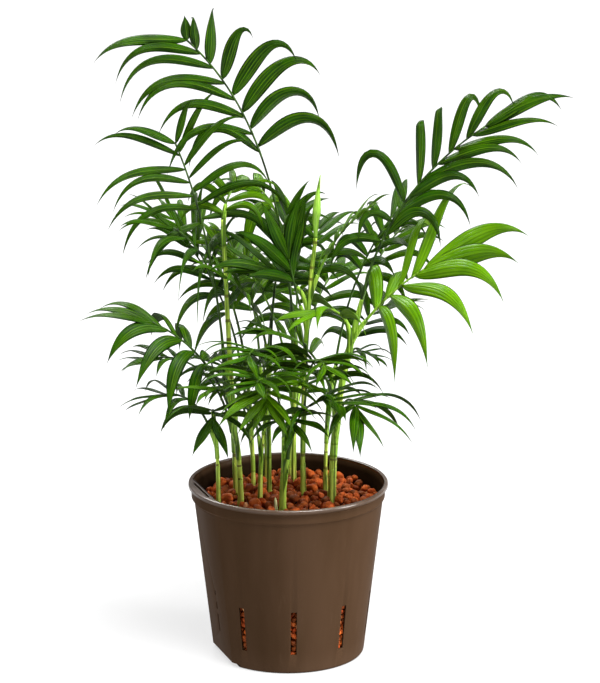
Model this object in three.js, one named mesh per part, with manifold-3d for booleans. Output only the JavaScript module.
// A parlour palm clump in its culture pot, in millimetres, +Z up.
// The origin is at the middle of the flat underside of the pot, the front of the plant faces -Y.
import * as THREE from 'three';
import { mergeVertices } from 'three/addons/utils/BufferGeometryUtils.js';
import Module from 'manifold-3d';

const wasm = await Module();
wasm.setup();

// Clearance between two pieces that meet.
const GAP = 0.3;

// Pot, moulded in dark brown plastic, with a recess for a water gauge on its left side.
const POT = {
  height: 195,
  rimRadius: 110,
  collarRadius: 106.6,
  collarHeight: 16,
  shoulderRadius: 104.5,
  footRadius: 84,
  bevel: 4,
  step: 2,
  rimHeight: 4,
  rimRound: 2.4,
  wall: 2.2,
  floor: 3,
  lip: 4.5,
  lipDepth: 3,
  sides: 32,
};
const GAUGE = {
  heading: 199,
  depth: 7.6,
  roof: 3,
  footLift: 4,
  notch: 6,
  slotRadius: 100.4,
  slotLength: 54,
  slotWidth: 2.6,
};
const VENTS = { perSide: 4, step: 37.5, width: 6.5, height: 51, foot: 23, depth: 10 };
const DASHES = { heights: [75, 60, 40], lengths: [5, 8, 20], width: 3.6 };
const DRAINS = { count: 6, ring: 48, radius: 4 };

// Clay pebbles that fill the pot to a little under its rim.
const CLAY = {
  level: 176,
  pebble: 9,
  vary: 0.35,
  proud: 0.25,
  rings: [34, 62, 86],
  spacing: 38,
  socket: 10,
};

// Each stem has its foot on the clay, its tip, the height where its lean starts and two radii.
const STEMS = {
  stem_left_outer: { foot: [-76, -25], tip: [-81, -28, 272], knee: 240, radii: [2.2, 1.8] },
  stem_left_tall: { foot: [-56, 24], tip: [-71, 20, 486], knee: 340, radii: [3.5, 2.0], lean: -9 },
  stem_left_front: { foot: [-52, -12], tip: [-59, -18, 262], knee: 230, radii: [2.8, 2.0] },
  stem_left_back: { foot: [-39, 52], tip: [-46, 62, 300], knee: 240, radii: [1.9, 1.7] },
  stem_front_left: { foot: [-31, -4], tip: [-21, -14, 290], knee: 240, radii: [2.2, 1.8] },
  stem_back_left: { foot: [-24, 72], tip: [-30, 86, 285], knee: 240, radii: [1.9, 1.7] },
  stem_middle: { foot: [-21, 19], tip: [-22, 18, 330], knee: 260, radii: [2.2, 1.8] },
  stem_back: { foot: [2, 84], tip: [12, 98, 270], knee: 235, radii: [1.9, 1.7] },
  stem_front: { foot: [-6, -33], tip: [-1, -38, 258], knee: 220, radii: [3.5, 2.3] },
  stem_top: { foot: [6, 58], tip: [9, 46, 336], knee: 270, radii: [2.4, 2.1] },
  stem_spear: { foot: [17, 10], tip: [30, 8, 468], knee: 330, radii: [2.6, 2.1], lean: -4 },
  stem_right_back: { foot: [41, 22], tip: [46, 34, 300], knee: 240, radii: [2.2, 1.8] },
  stem_right: { foot: [48, -4], tip: [77, -6, 387], knee: 290, radii: [4.2, 2.6] },
};
const STEM = { sides: 6, steps: 5, crowd: 1.3, taper: 0.8, flare: 0.5, flareReach: 0.06 };
const SHOOT = { foot: [-13, -38], height: 12, radius: 2.4 };
const SPEAR = { length: 70, radii: [2.4, 5.2, 0.5], middle: 0.4, lean: 5, sides: 4 };

// Each frond leaves its stem at a share of the stem's height. way is its compass heading (0 right,
// 90 back, 180 left, 270 front), rise and fall its slope in degrees at the foot and at the tip,
// bend how late the slope changes. stalk is the bare part, rib the part with leaflets, roll the
// turn of the whole frond about its rib. Its pairs of leaflets stand at an angle to the rib that
// goes from open at the first pair to close at the last. blade is the longest leaflet and end the
// share of it that the last pair has. uneven makes one side longer than the other towards the tip,
// skew turns the leaflets of both sides the same way at the first pair, droop bends them down, sag
// is how late they bend, limp bends those of one side more than the other's, and slim makes them
// narrower.
const FRONDS = {
  top_left: {
    on: 'stem_top', at: 1, way: 180, rise: 84, fall: 42, bend: 2.2, stalk: 222, rib: 148, pairs: 8,
    blade: 128, end: 0.5, uneven: 0.6, skew: -14, roll: -82, open: 60, close: 42, droop: 3.4, limp: 0.4,
    sag: 3.6, width: 15, slim: 0.22,
  },
  top_second: {
    on: 'stem_top', at: 0.8, way: 140, rise: 88, fall: 10, bend: 4, stalk: 186, rib: 40, pairs: 3,
    blade: 86, droop: 4, sag: 2, width: 16, tone: 'young',
  },
  top_third: {
    on: 'stem_top', at: 0.55, way: 155, rise: 84, fall: 30, stalk: 130, rib: 70, pairs: 6, blade: 84,
  },
  left_high: {
    on: 'stem_left_tall', at: 0.42, way: 178, rise: 85, fall: 68, stalk: 176, rib: 92, pairs: 7,
    blade: 120, uneven: 0.12, roll: -76, open: 82, close: 42, droop: 2.5, sag: 3.4, width: 9.5,
  },
  left_mid: {
    on: 'stem_left_tall', at: 0.36, way: 190, rise: 88, fall: 30, bend: 3, stalk: 150, rib: 58, pairs: 4,
    blade: 124, roll: -30, open: 84, close: 30, droop: 2.4, width: 10,
  },
  left_tip: {
    on: 'stem_left_tall', at: 1, way: 60, rise: 70, fall: -5, stalk: 6, rib: 44, pairs: 5, blade: 74,
    droop: 3, tone: 'young',
  },
  left_inner: {
    on: 'stem_left_tall', at: 0.28, way: 305, rise: 82, fall: 5, stalk: 66, rib: 42, pairs: 5, blade: 80,
  },
  left_low: {
    on: 'stem_left_front', at: 1, way: 184, rise: 79, fall: 26, bend: 1.1, stalk: 78, rib: 76, pairs: 5,
    blade: 88, end: 0.95, roll: -24, open: 80, close: 8, droop: 3.4, sag: 1.4, width: 17,
  },
  left_small: {
    on: 'stem_left_front', at: 0.9, way: 186, rise: 80, fall: -10, bend: 1.6, stalk: 104, rib: 32,
    pairs: 4, blade: 74, droop: 1.6, width: 11,
  },
  left_lowest: {
    on: 'stem_left_outer', at: 0.75, way: 172, rise: 74, fall: -20, stalk: 52, rib: 30, pairs: 4,
    blade: 82, width: 9, droop: 1.8,
  },
  left_front: {
    on: 'stem_left_outer', at: 1, way: 268, rise: 76, fall: -60, stalk: 8, rib: 26, pairs: 4, blade: 84,
    droop: 3, width: 12,
  },
  back_left_long: {
    on: 'stem_left_back', at: 1, way: 140, rise: 80, fall: 20, stalk: 90, rib: 110, pairs: 6, blade: 116,
    width: 11,
  },
  back_left_up: {
    on: 'stem_left_back', at: 0.7, way: 172, rise: 84, fall: 50, stalk: 110, rib: 84, pairs: 5, blade: 110,
    roll: -30, width: 10,
  },
  back_left_low: {
    on: 'stem_left_back', at: 0.4, way: 118, rise: 68, fall: -10, stalk: 70, rib: 60, pairs: 5, blade: 70,
  },
  front_fan: {
    on: 'stem_front_left', at: 1, way: 268, rise: 76, fall: -40, bend: 1, stalk: 42, rib: 34, pairs: 6,
    blade: 86, open: 88, close: 22, droop: 1.6, width: 12,
  },
  front_left: {
    on: 'stem_front_left', at: 0.5, way: 222, rise: 84, fall: 0, stalk: 62, rib: 54, pairs: 6, blade: 88,
  },
  front_low: {
    on: 'stem_front', at: 1, way: 280, rise: 74, fall: -30, stalk: 26, rib: 26, pairs: 4, blade: 72,
    droop: 2.4, width: 11,
  },
  front_mid: {
    on: 'stem_front', at: 0.8, way: 246, rise: 84, fall: -10, bend: 2, stalk: 84, rib: 50, pairs: 6,
    blade: 88,
  },
  front_right: {
    on: 'stem_front', at: 0.5, way: 318, rise: 83, fall: -5, bend: 2, stalk: 78, rib: 50, pairs: 6,
    blade: 88,
  },
  middle_left: {
    on: 'stem_middle', at: 1, way: 188, rise: 82, fall: 25, stalk: 60, rib: 60, pairs: 5, blade: 88,
  },
  middle_up: {
    on: 'stem_middle', at: 0.85, way: 60, rise: 86, fall: 60, stalk: 110, rib: 70, pairs: 5, blade: 80,
  },
  middle_front: {
    on: 'stem_middle', at: 0.5, way: 256, rise: 84, fall: -15, bend: 2, stalk: 92, rib: 56, pairs: 6,
    blade: 90,
  },
  spear_fan: {
    on: 'stem_spear', at: 0.68, way: 192, rise: 72, fall: 80, bend: 1, stalk: 44, rib: 26, pairs: 3,
    blade: 88, end: 0.9, roll: -74, open: 48, close: 16, droop: 0.7, width: 15,
  },
  spear_left: {
    on: 'stem_spear', at: 0.76, way: 184, rise: 56, fall: 0, stalk: 24, rib: 38, pairs: 4, blade: 114,
    roll: -26, open: 56, close: 8, droop: 1.1, width: 14,
  },
  spear_right: {
    on: 'stem_spear', at: 0.8, way: 350, rise: 72, fall: 40, stalk: 40, rib: 55, pairs: 5, blade: 76,
  },
  spear_front: {
    on: 'stem_spear', at: 0.3, way: 285, rise: 82, fall: -10, stalk: 76, rib: 56, pairs: 6, blade: 84,
  },
  spear_back: {
    on: 'stem_spear', at: 0.66, way: 80, rise: 78, fall: 20, stalk: 50, rib: 66, pairs: 5, blade: 80,
  },
  back_far_left: {
    on: 'stem_back_left', at: 1, way: 108, rise: 78, fall: 5, stalk: 80, rib: 95, pairs: 6, blade: 92,
  },
  back_high: {
    on: 'stem_back_left', at: 0.7, way: 70, rise: 84, fall: 45, stalk: 130, rib: 80, pairs: 6, blade: 88,
  },
  back_low_left: {
    on: 'stem_back_left', at: 0.45, way: 95, rise: 66, fall: -20, stalk: 60, rib: 55, pairs: 5, blade: 66,
  },
  back_right_far: {
    on: 'stem_back', at: 1, way: 62, rise: 78, fall: 5, stalk: 80, rib: 90, pairs: 6, blade: 90,
  },
  back_middle: {
    on: 'stem_back', at: 0.75, way: 88, rise: 80, fall: 20, stalk: 100, rib: 80, pairs: 6, blade: 86,
  },
  back_low_right: {
    on: 'stem_back', at: 0.4, way: 75, rise: 64, fall: -20, stalk: 55, rib: 50, pairs: 5, blade: 64,
  },
  right_back_up: {
    on: 'stem_right_back', at: 0.9, way: 30, rise: 82, fall: 42, stalk: 140, rib: 80, pairs: 6, blade: 88,
  },
  right_back_low: {
    on: 'stem_right_back', at: 0.75, way: 48, rise: 74, fall: 0, stalk: 80, rib: 70, pairs: 5, blade: 80,
  },
  right_thin: {
    on: 'stem_right_back', at: 1, way: 8, rise: 68, fall: -20, stalk: 36, rib: 26, pairs: 4, blade: 50,
    width: 6.5, droop: 2.4,
  },
  right_top: {
    on: 'stem_right', at: 1, way: 0, rise: 81, fall: 33, bend: 1, stalk: 84, rib: 170, pairs: 8,
    blade: 110, end: 0.88, uneven: -0.06, skew: 36, roll: 66, open: 52, close: 13, droop: 4.4, limp: 0.5,
    sag: 3.6, width: 13,
  },
  right_young: {
    on: 'stem_right', at: 0.9, way: 342, rise: 56, fall: 34, bend: 1.1, stalk: 32, rib: 74, pairs: 5,
    blade: 132, end: 0.96, roll: 44, open: 78, close: 10, droop: 3.2, width: 22, tone: 'young',
  },
  right_back: {
    on: 'stem_right', at: 0.75, way: 55, rise: 72, fall: 15, stalk: 90, rib: 80, pairs: 6, blade: 84,
  },
  right_front: {
    on: 'stem_right', at: 0.9, way: 208, rise: 66, fall: -10, stalk: 22, rib: 30, pairs: 3, blade: 90,
    width: 14, tone: 'young',
  },
  right_inner: {
    on: 'stem_right', at: 0.5, way: 165, rise: 76, fall: 0, stalk: 60, rib: 56, pairs: 6, blade: 84,
  },
  right_mid: {
    on: 'stem_right', at: 0.48, way: 232, rise: 78, fall: -10, stalk: 40, rib: 46, pairs: 6, blade: 88,
  },
  right_low: {
    on: 'stem_right', at: 0.4, way: 292, rise: 72, fall: -35, stalk: 50, rib: 28, pairs: 5, blade: 98,
    open: 92, close: 20, droop: 2.2, width: 13,
  },
};
const FROND = {
  bend: 1.6,
  roll: 0,
  open: 74,
  close: 28,
  droop: 2,
  lift: 12,
  end: 0.6,
  uneven: 0,
  skew: 0,
  slim: 0,
  limp: 0,
  sag: 3,
  firstSag: 0.7,
  waver: 16,
  twist: 40,
  firstDroop: 1.15,
  lastDroop: 0.4,
  droopVary: 0.6,
  lengthVary: 0.22,
  stagger: 0.3,
  footRadius: 1.7,
  tipRadius: 0.8,
  sides: 3,
  stalkSteps: 3,
  walk: 60,
  seed: 101,
};

// A leaflet is a flat lance with a keel: its width and keel at two stations between its ends.
const LEAFLET = {
  first: 0.85,
  middle: 1.1,
  slender: 0.125,
  keel: 0.013,
  leastKeel: 0.8,
  rootLap: 0.3,
  longStations: [
    { at: 0.26, width: 0.95 },
    { at: 0.55, width: 1 },
    { at: 0.8, width: 0.6 },
  ],
  stations: [
    { at: 0.34, width: 1 },
    { at: 0.7, width: 0.8 },
  ],
  shortStations: [{ at: 0.45, width: 1 }],
  longOver: 92,
  shortUnder: 52,
  walk: 12,
};

// A leaflet that would touch a neighbour is tried again turned in its plane, lifted or shorter.
const TRIES = [
  { turn: 0, lift: 0, size: 1 },
  { turn: 9, lift: 0, size: 1 },
  { turn: -9, lift: 0, size: 1 },
  { turn: 0, lift: 16, size: 1 },
  { turn: 0, lift: -16, size: 1 },
  { turn: 18, lift: 0, size: 1 },
  { turn: -18, lift: 0, size: 1 },
  { turn: 9, lift: 20, size: 0.85 },
  { turn: -9, lift: -20, size: 0.85 },
  { turn: 0, lift: 0, size: 0.7 },
  { turn: 14, lift: 24, size: 0.6 },
  { turn: -14, lift: -24, size: 0.6 },
];
const STALK_TURNS = [0, 5, -5, 10, -10, 16, -16, 24, -24, 34, -34];

const COLOURS = {
  pot: { color: 0x4a3728, roughness: 0.45 },
  clay: { color: 0x9c4a26, roughness: 0.95 },
  stem: { color: 0x8fb04a, roughness: 0.55 },
  spear: { color: 0x9ccb3e, roughness: 0.5 },
  leaf: { color: 0x2f6b1e, roughness: 0.45 },
  young: { color: 0x63a82a, roughness: 0.45 },
};

const up = new THREE.Vector3(0, 0, 1);
const down = new THREE.Vector3(0, 0, -1);
// A direction that no limb follows.
const aside = new THREE.Vector3(0, 1, 0.3);
const radians = THREE.MathUtils.degToRad;

function seeded(seed) {
  let state = seed >>> 0;
  return () => {
    state = (state + 0x6d2b79f5) >>> 0;
    let mixed = Math.imul(state ^ (state >>> 15), state | 1);
    mixed ^= mixed + Math.imul(mixed ^ (mixed >>> 7), mixed | 61);
    return ((mixed ^ (mixed >>> 14)) >>> 0) / 4294967296;
  };
}

// Turns a closed geometry into a solid with its faces pointing out.
function toSolid(geometry) {
  const bare = geometry.clone();
  bare.deleteAttribute('normal');
  bare.deleteAttribute('uv');
  const merged = mergeVertices(bare, 1e-4);
  const places = merged.getAttribute('position').array;
  const faces = [];
  let volume = 0;
  const corner = (i) => new THREE.Vector3().fromArray(places, 3 * i);
  for (let i = 0; i < merged.index.count; i += 3) {
    const face = [0, 1, 2].map((k) => merged.index.getX(i + k));
    if (new Set(face).size < 3) continue;
    faces.push(face);
    const [a, b, c] = face.map(corner);
    volume += a.dot(b.cross(c)) / 6;
  }
  const triVerts = new Uint32Array(faces.flatMap((face) => (volume > 0 ? face : face.reverse())));
  const mesh = new wasm.Mesh({ numProp: 3, vertProperties: new Float32Array(places), triVerts });
  return new wasm.Manifold(mesh);
}

// Keeps the main body of a solid, so that a loose scrap is dropped and a sealed hollow is filled.
function mainBody(solid) {
  const bodies = solid.decompose();
  return bodies.reduce((best, body) => (body.volume() > best.volume() ? body : best));
}

function toGeometry(solid) {
  const mesh = solid.getMesh();
  const geometry = new THREE.BufferGeometry();
  geometry.setAttribute('position', new THREE.BufferAttribute(new Float32Array(mesh.vertProperties), 3));
  geometry.setIndex(new THREE.BufferAttribute(new Uint32Array(mesh.triVerts), 1));
  geometry.computeVertexNormals();
  return geometry;
}

function node(name, solid, look) {
  const material = new THREE.MeshStandardMaterial({ ...COLOURS[look], metalness: 0, flatShading: true });
  const mesh = new THREE.Mesh(toGeometry(solid), material);
  mesh.name = name;
  return mesh;
}

// A body turned about Z from points given as [radius, height].
function turned(profile) {
  const points = profile.map(([radius, height]) => new THREE.Vector2(radius, height));
  return toSolid(new THREE.LatheGeometry(points, POT.sides).rotateX(Math.PI / 2));
}

// A box whose near face lies at a distance from the axis, on a compass heading.
function wallBox(heading, from, to, width, bottom, top) {
  const box = new THREE.BoxGeometry(to - from, width, top - bottom);
  box.translate((from + to) / 2, 0, (bottom + top) / 2);
  return toSolid(box.rotateZ(radians(heading)));
}

function wallRadius(z) {
  const shoulder = POT.height - POT.collarHeight;
  return THREE.MathUtils.mapLinear(z, 0, shoulder, POT.footRadius, POT.shoulderRadius);
}

// The flat of the gauge recess leans with the wall, a fixed depth inside it.
function gaugeCut(inset, bottom, top) {
  const reach = POT.rimRadius + 10;
  const near = (z) => wallRadius(z) - GAUGE.depth - inset;
  const side = new THREE.Shape();
  side.moveTo(near(bottom), bottom);
  side.lineTo(reach, bottom);
  side.lineTo(reach, top);
  side.lineTo(near(top), top);
  const block = new THREE.ExtrudeGeometry(side, { depth: 2 * reach, bevelEnabled: false });
  block.translate(0, 0, -reach);
  block.rotateX(Math.PI / 2);
  return toSolid(block.rotateZ(radians(GAUGE.heading)));
}

// The recess goes on upwards behind the collar, to the underside of the lip.
function gaugePocket() {
  const collarRoom = POT.collarRadius - POT.wall;
  const roof = POT.height - POT.lipDepth;
  const disc = turned([
    [0, 0],
    [collarRoom, 0],
    [collarRoom, roof],
    [0, roof],
  ]);
  const start = POT.height - POT.collarHeight - GAUGE.roof - 1;
  return gaugeCut(0, start, roof).intersect(disc);
}

function potOutside() {
  const shoulder = POT.height - POT.collarHeight;
  const rimFoot = POT.height - POT.rimHeight;
  const body = turned([
    [0, 0],
    [POT.footRadius - POT.bevel, 0],
    [POT.footRadius, POT.bevel],
    [POT.shoulderRadius, shoulder - POT.step],
    [POT.collarRadius, shoulder],
    [POT.collarRadius, rimFoot - POT.step],
    [POT.rimRadius, rimFoot],
    [POT.rimRadius, POT.height - POT.rimRound / 2],
    [POT.rimRadius - POT.rimRound, POT.height],
    [0, POT.height],
  ]);
  const recess = gaugeCut(0, GAUGE.footLift, shoulder - GAUGE.roof);
  const footNotch = gaugeCut(GAUGE.notch, -1, GAUGE.footLift);
  return body.subtract(recess).subtract(footNotch).subtract(gaugePocket());
}

function potInside(clear) {
  const shoulder = POT.height - POT.collarHeight;
  const room = turned([
    [0, POT.floor + clear],
    [wallRadius(POT.floor) - POT.wall - clear, POT.floor + clear],
    [POT.shoulderRadius - POT.wall - clear, shoulder],
    [POT.rimRadius - POT.lip - clear, POT.height - POT.lipDepth],
    [POT.rimRadius - POT.lip - clear, POT.height + 1],
    [0, POT.height + 1],
  ]);
  const wall = POT.wall + clear;
  const notchRoof = GAUGE.footLift + wall;
  const flat = gaugeCut(wall, -1, POT.height + 2);
  return room.subtract(flat).subtract(gaugeCut(GAUGE.notch + wall, -1, notchRoof));
}

function pot() {
  let body = potOutside().subtract(potInside(0));
  const cuts = [];
  const ventTop = VENTS.foot + VENTS.height;
  for (let i = 1; i <= VENTS.perSide; i += 1) {
    for (const side of [1, -1]) {
      const heading = GAUGE.heading + side * i * VENTS.step;
      const inner = POT.footRadius - VENTS.depth;
      cuts.push(wallBox(heading, inner, POT.rimRadius, VENTS.width, VENTS.foot, ventTop));
    }
  }
  DASHES.heights.forEach((height, i) => {
    const half = DASHES.lengths[i] / 2;
    const inner = POT.footRadius - GAUGE.depth - 2 * POT.floor;
    cuts.push(wallBox(GAUGE.heading, inner, POT.rimRadius, DASHES.width, height - half, height + half));
  });
  const slotNear = GAUGE.slotRadius - GAUGE.slotWidth / 2;
  const slotFar = GAUGE.slotRadius + GAUGE.slotWidth / 2;
  const slotFoot = POT.height - POT.lipDepth - 1;
  cuts.push(wallBox(GAUGE.heading, slotNear, slotFar, GAUGE.slotLength, slotFoot, POT.height + 1));
  for (let i = 0; i < DRAINS.count; i += 1) {
    const hole = new THREE.CylinderGeometry(DRAINS.radius, DRAINS.radius, 3 * POT.floor, 8);
    hole.rotateX(Math.PI / 2).translate(DRAINS.ring, 0, 0);
    cuts.push(toSolid(hole.rotateZ(radians((360 / DRAINS.count) * i))));
  }
  cuts.forEach((cut) => {
    body = body.subtract(cut);
  });
  return mainBody(body);
}

// A closed tapering limb through a row of points. Its first section is square to firstWay.
function limbGeometry(points, radii, sides, firstWay) {
  const places = [];
  const ring = (centre, radius, way) => {
    const side = aside.clone().cross(way).normalize();
    const other = way.clone().cross(side).normalize();
    for (let i = 0; i < sides; i += 1) {
      const angle = (2 * Math.PI * i) / sides;
      const place = centre.clone();
      place.addScaledVector(side, radius * Math.cos(angle));
      place.addScaledVector(other, radius * Math.sin(angle));
      places.push(place);
    }
  };
  points.forEach((point, i) => {
    const before = points[Math.max(i - 1, 0)];
    const after = points[Math.min(i + 1, points.length - 1)];
    const way = i === 0 && firstWay ? firstWay : after.clone().sub(before).normalize();
    ring(point, radii[i], way);
  });
  const faces = [];
  for (let row = 0; row + 1 < points.length; row += 1) {
    for (let i = 0; i < sides; i += 1) {
      const a = row * sides + i;
      const b = row * sides + ((i + 1) % sides);
      faces.push(a, b, b + sides, a, b + sides, a + sides);
    }
  }
  const last = (points.length - 1) * sides;
  for (let i = 1; i + 1 < sides; i += 1) {
    faces.push(0, i + 1, i, last, last + i, last + i + 1);
  }
  const geometry = new THREE.BufferGeometry().setFromPoints(places);
  geometry.setIndex(faces);
  return geometry;
}

// The middle line of a stem: upright at its foot, then leaning to its tip.
function stemCurve(stem) {
  const [x, y] = stem.foot;
  const foot = new THREE.Vector3(x, y, CLAY.level - CLAY.socket);
  const knee = new THREE.Vector3(x + (stem.lean ?? 0), y, stem.knee);
  return new THREE.QuadraticBezierCurve3(foot, knee, new THREE.Vector3(...stem.tip));
}

function stemRadius(stem, share) {
  const [foot, tip] = stem.radii;
  const flare = STEM.flare * Math.exp(-share / STEM.flareReach);
  return tip + (foot - tip) * (1 - share) ** STEM.taper + flare;
}

function stemSolid(stem, extra) {
  const curve = stemCurve(stem);
  const points = [];
  const radii = [];
  for (let i = 0; i <= STEM.steps; i += 1) {
    const share = (i / STEM.steps) ** STEM.crowd;
    points.push(curve.getPoint(share));
    radii.push(stemRadius(stem, share) + extra);
  }
  points[0].z -= extra;
  return toSolid(limbGeometry(points, radii, STEM.sides, up));
}

function spearSolid(extra) {
  const foot = new THREE.Vector3(...STEMS.stem_spear.tip);
  const along = (share) => {
    const shift = new THREE.Vector3(SPEAR.lean * share ** 2, 0, SPEAR.length * share);
    return foot.clone().add(shift);
  };
  const points = [foot.clone().addScaledVector(up, 2 * GAP), along(SPEAR.middle), along(1)];
  const radii = SPEAR.radii.map((radius) => radius + extra);
  return toSolid(limbGeometry(points, radii, SPEAR.sides));
}

function shootSolid(extra) {
  const [x, y] = SHOOT.foot;
  const foot = new THREE.Vector3(x, y, CLAY.level - CLAY.socket - extra);
  const top = new THREE.Vector3(x - 1, y, CLAY.level + SHOOT.height);
  return toSolid(limbGeometry([foot, top], [SHOOT.radius + extra, SHOOT.radius / 2 + extra], 6, up));
}

// Pebbles lie in rings on the fill, each a lump turned by a seeded draw.
function pebbles() {
  const draw = seeded(7);
  const lumps = [];
  CLAY.rings.forEach((ring, row) => {
    const count = Math.round((2 * Math.PI * ring) / CLAY.spacing);
    for (let i = 0; i < count; i += 1) {
      const angle = (2 * Math.PI * (i + 0.5 * row)) / count + 0.2 * draw();
      const radius = CLAY.pebble * (1 + CLAY.vary * (draw() - 0.5));
      const lump = new THREE.OctahedronGeometry(radius, 0);
      lump.rotateX(3 * draw()).rotateZ(3 * draw());
      lump.translate(ring * Math.cos(angle), ring * Math.sin(angle), CLAY.level + radius * CLAY.proud);
      lumps.push(toSolid(lump));
    }
  });
  return lumps;
}

function clayFill(planted) {
  const slab = new THREE.CylinderGeometry(POT.rimRadius + 5, POT.rimRadius + 5, POT.height, 8);
  slab.rotateX(Math.PI / 2).translate(0, 0, CLAY.level - POT.height / 2);
  const room = potInside(GAP);
  const fill = room.intersect(toSolid(slab));
  const heap = wasm.Manifold.union([fill, ...pebbles()]).intersect(room);
  return mainBody(heap.subtract(wasm.Manifold.union(planted)));
}

// Walks along a bending line and keeps the place and the way at each step.
function walk(start, length, steps, wayAt) {
  const places = [start.clone()];
  const ways = [wayAt(0)];
  for (let i = 0; i < steps; i += 1) {
    const middle = wayAt((i + 0.5) / steps);
    places.push(places[i].clone().addScaledVector(middle, length / steps));
    ways.push(wayAt((i + 1) / steps));
  }
  return { places, ways };
}

function sampleWalk(path, share) {
  const steps = path.places.length - 1;
  const low = Math.min(Math.floor(share * steps), steps - 1);
  const part = share * steps - low;
  const place = path.places[low].clone().lerp(path.places[low + 1], part);
  const way = path.ways[low].clone().lerp(path.ways[low + 1], part).normalize();
  return { place, way };
}

// The rib of a frond starts beside its stem or on its tip and arches over along its heading.
function frondPath(frond, turn, stand) {
  const stem = STEMS[frond.on];
  const heading = radians(frond.way + turn);
  const out = new THREE.Vector3(Math.cos(heading), Math.sin(heading), 0);
  const wayAt = (share) => {
    const slope = radians(frond.rise + (frond.fall - frond.rise) * share ** frond.bend);
    return out.clone().multiplyScalar(Math.cos(slope)).addScaledVector(up, Math.sin(slope));
  };
  const start = stemCurve(stem).getPoint(frond.at);
  if (frond.at < 1) {
    start.addScaledVector(out, stemRadius(stem, frond.at) + stand);
  } else {
    start.z += stand;
  }
  return { ...walk(start, frond.stalk + frond.rib, FROND.walk, wayAt), out };
}

function ribRadius(share) {
  return FROND.footRadius + (FROND.tipRadius - FROND.footRadius) * share;
}

// Stations in equal steps along the bare stalk, then one at each pair of leaflets.
function ribStations(frond) {
  const bare = frond.stalk / (frond.stalk + frond.rib);
  const shares = [];
  for (let i = 0; i < FROND.stalkSteps; i += 1) shares.push((bare * i) / FROND.stalkSteps);
  for (let i = 0; i < frond.pairs; i += 1) shares.push(bare + ((1 - bare) * i) / (frond.pairs - 1));
  return shares;
}

function ribSolid(frond, path, extra) {
  const points = [];
  const radii = [];
  ribStations(frond).forEach((share) => {
    points.push(sampleWalk(path, share).place);
    radii.push(ribRadius(share) + extra);
  });
  return toSolid(limbGeometry(points, radii, FROND.sides));
}

// Leaflets are longest about the middle of the rib and shortest at its tip.
function lengthShare(along, end) {
  const rest = 1 - along;
  return LEAFLET.first * rest ** 2 + 2 * LEAFLET.middle * along * rest + end * along ** 2;
}

// The leaflets of a frond in pairs, each with its foot on the rib, first way, face and size.
function leafletPlans(frond, path, draw) {
  const plans = [];
  const bare = frond.stalk / (frond.stalk + frond.rib);
  const vary = (spread) => 1 + spread * (draw() - 0.5);
  for (let pair = 0; pair < frond.pairs; pair += 1) {
    for (const side of [1, -1]) {
      const shift = side > 0 ? 0 : FROND.stagger;
      const along = Math.min((pair + shift) / (frond.pairs - 1), 1);
      const { place, way } = sampleWalk(path, bare + (1 - bare) * along);
      const level = up.clone().cross(path.out).normalize();
      const face = way.clone().cross(level).normalize();
      const roll = radians(frond.roll);
      const opening = frond.open + (frond.close - frond.open) * along;
      const droopShare = THREE.MathUtils.lerp(FROND.firstDroop, FROND.lastDroop, along);
      const size = lengthShare(along, frond.end) * (1 + side * frond.uneven * along ** 2);
      const across = level.clone().multiplyScalar(Math.cos(roll)).addScaledVector(face, Math.sin(roll));
      const front = face.clone().multiplyScalar(Math.cos(roll)).addScaledVector(level, -Math.sin(roll));
      plans.push({
        foot: place,
        way,
        across: across.multiplyScalar(side),
        front,
        angle: opening + side * frond.skew * (1 - along) ** 2 + FROND.waver * (draw() - 0.5),
        lift: frond.lift,
        twist: FROND.twist * (draw() - 0.5),
        droop: frond.droop * (1 + side * frond.limp * along ** 0.5) * droopShare * vary(FROND.droopVary),
        sag: frond.sag * THREE.MathUtils.lerp(FROND.firstSag, 1, along),
        length: size * frond.blade * vary(FROND.lengthVary),
        width: frond.width * (1 - side * frond.slim) * Math.min(1, size + 0.15) ** 0.5,
      });
    }
  }
  return plans;
}

// The middle line of a leaflet droops under its own weight, and its face turns with it.
function leafletPath(plan, attempt) {
  const angle = radians(plan.angle + attempt.turn);
  const lift = radians(plan.lift + attempt.lift);
  const first = plan.way.clone().multiplyScalar(Math.cos(angle));
  first.addScaledVector(plan.across, Math.sin(angle) * Math.cos(lift));
  first.addScaledVector(plan.front, Math.sin(angle) * Math.sin(lift)).normalize();
  const wayAt = (share) => {
    const sink = plan.droop * share ** plan.sag;
    return first.clone().addScaledVector(down, sink).normalize();
  };
  const length = plan.length * attempt.size;
  const path = walk(plan.foot, length, LEAFLET.walk, wayAt);
  const faces = [];
  let face = plan.front.clone().applyAxisAngle(first, radians(plan.twist));
  path.ways.forEach((way) => {
    face = face.clone().addScaledVector(way, -face.dot(way)).normalize();
    faces.push(face);
  });
  return { ...path, faces, length };
}

function stationsFor(length) {
  if (length < LEAFLET.shortUnder) return LEAFLET.shortStations;
  return length > LEAFLET.longOver ? LEAFLET.longStations : LEAFLET.stations;
}

// The corners of a leaflet's section: a flat top with a keel, or a wider envelope that clears it.
function sectionCorners(half, keel, extra) {
  if (extra === 0) {
    return [
      [half, 0],
      [-half, 0],
      [0, -keel],
    ];
  }
  return [
    [half + extra, extra],
    [-half - extra, extra],
    [-half - extra, -extra],
    [0, -keel - extra],
    [half + extra, -extra],
  ];
}

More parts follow.
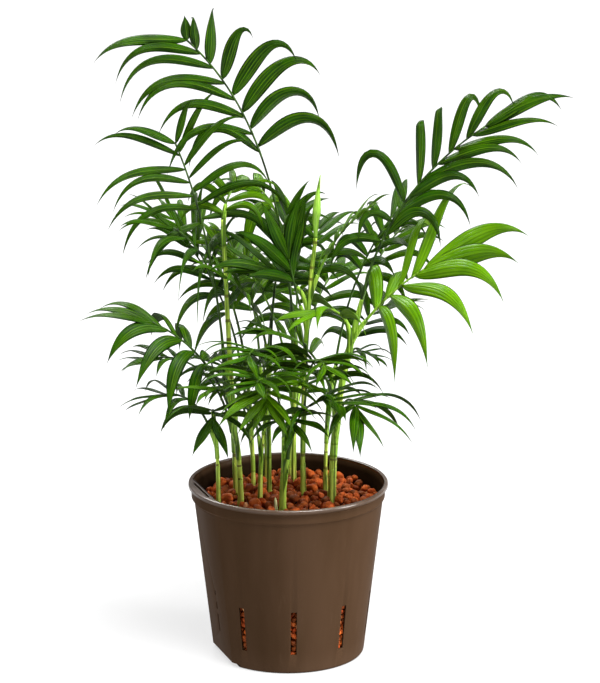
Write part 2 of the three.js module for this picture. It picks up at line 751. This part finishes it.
function leafletSolid(plan, attempt, extra) {
  const path = leafletPath(plan, attempt);
  const half = (plan.width * attempt.size ** 0.5) / 2;
  const keel = Math.max(LEAFLET.keel * path.length, LEAFLET.leastKeel);
  const stations = stationsFor(path.length);
  const places = [plan.foot.clone().addScaledVector(path.ways[0], -LEAFLET.rootLap)];
  stations.forEach(({ at, width }) => {
    const { place, way } = sampleWalk(path, at);
    const face = path.faces[Math.round(at * LEAFLET.walk)];
    const side = way.clone().cross(face).normalize();
    sectionCorners(half * width, keel, extra).forEach(([out, rise]) => {
      places.push(place.clone().addScaledVector(side, out).addScaledVector(face, rise));
    });
  });
  const end = sampleWalk(path, 1);
  places.push(end.place.addScaledVector(end.way, 2 * extra));
  return toSolid(spindleGeometry(places, stations.length));
}

// A closed skin over rows of corners between a point at each end.
function spindleGeometry(places, rows) {
  const corners = (places.length - 2) / rows;
  const tip = places.length - 1;
  const faces = [];
  for (let i = 0; i < corners; i += 1) {
    const next = (i + 1) % corners;
    faces.push(0, 1 + i, 1 + next);
    for (let row = 0; row + 1 < rows; row += 1) {
      const a = 1 + corners * row + i;
      const b = 1 + corners * row + next;
      faces.push(a, a + corners, b, b, a + corners, b + corners);
    }
    const last = 1 + corners * (rows - 1);
    faces.push(tip, last + next, last + i);
  }
  const geometry = new THREE.BufferGeometry().setFromPoints(places);
  geometry.setIndex(faces);
  return geometry;
}

// The pieces that already have their place, each with its owner and its box.
const taken = [];

function boxOf(solid) {
  const { min, max } = solid.boundingBox();
  return new THREE.Box3(new THREE.Vector3(...min), new THREE.Vector3(...max));
}

function take(owner, solid) {
  taken.push({ owner, solid, box: boxOf(solid) });
}

function isFree(owner, solid) {
  const box = boxOf(solid);
  return taken.every((other) => {
    if (other.owner === owner || !other.box.intersectsBox(box)) return true;
    return other.solid.intersect(solid).isEmpty();
  });
}

// A rib is turned or stood off a little more until it is clear of the stem and of its neighbours.
function placeRib(name, frond) {
  for (const turn of STALK_TURNS) {
    for (let stand = 0; stand < 3 * FROND.footRadius; stand += GAP) {
      const path = frondPath(frond, turn, stand);
      if (isFree(name, ribSolid(frond, path, GAP))) {
        take(name, ribSolid(frond, path, 0));
        return path;
      }
    }
  }
  return null;
}

function placeLeaflets(name, frond, path, draw) {
  const kept = [];
  leafletPlans(frond, path, draw).forEach((plan) => {
    const attempt = TRIES.find((candidate) => isFree(name, leafletSolid(plan, candidate, GAP)));
    if (!attempt) return;
    const solid = leafletSolid(plan, attempt, 0);
    kept.push(solid);
    take(name, solid);
  });
  return kept;
}

function buildPalm() {
  const palm = new THREE.Group();
  const planted = [];
  const potSolid = pot();
  take('pot', potSolid);
  Object.entries(STEMS).forEach(([name, stem]) => {
    const solid = stemSolid(stem, 0);
    take(name, solid);
    planted.push(stemSolid(stem, GAP));
    palm.add(node(name, solid, 'stem'));
  });
  const spear = spearSolid(0);
  take('spear', spear);
  palm.add(node('spear_leaf', spear, 'spear'));
  const shoot = shootSolid(0);
  take('shoot', shoot);
  planted.push(shootSolid(GAP));
  palm.add(node('shoot', shoot, 'stem'));
  const clay = clayFill(planted);
  take('clay', clay);
  palm.add(node('pot', potSolid, 'pot'));
  palm.add(node('clay_fill', clay, 'clay'));

  const fronds = Object.entries(FRONDS).map(([name, own], index) => {
    const frond = { ...FROND, ...own };
    frond.width = own.width ?? LEAFLET.slender * frond.blade;
    return { name: `frond_${name}`, frond, draw: seeded(FROND.seed + index) };
  });
  fronds.forEach((entry) => {
    entry.path = placeRib(entry.name, entry.frond);
  });
  fronds.filter((entry) => entry.path).forEach(({ name, frond, path, draw }) => {
    const leaflets = placeLeaflets(name, frond, path, draw);
    const rib = ribSolid(frond, path, 0);
    const solid = mainBody(wasm.Manifold.union([rib, ...leaflets])).simplify(0.01);
    palm.add(node(name, solid, frond.tone ?? 'leaf'));
  });
  return palm;
}

const palm = buildPalm();

export default palm;
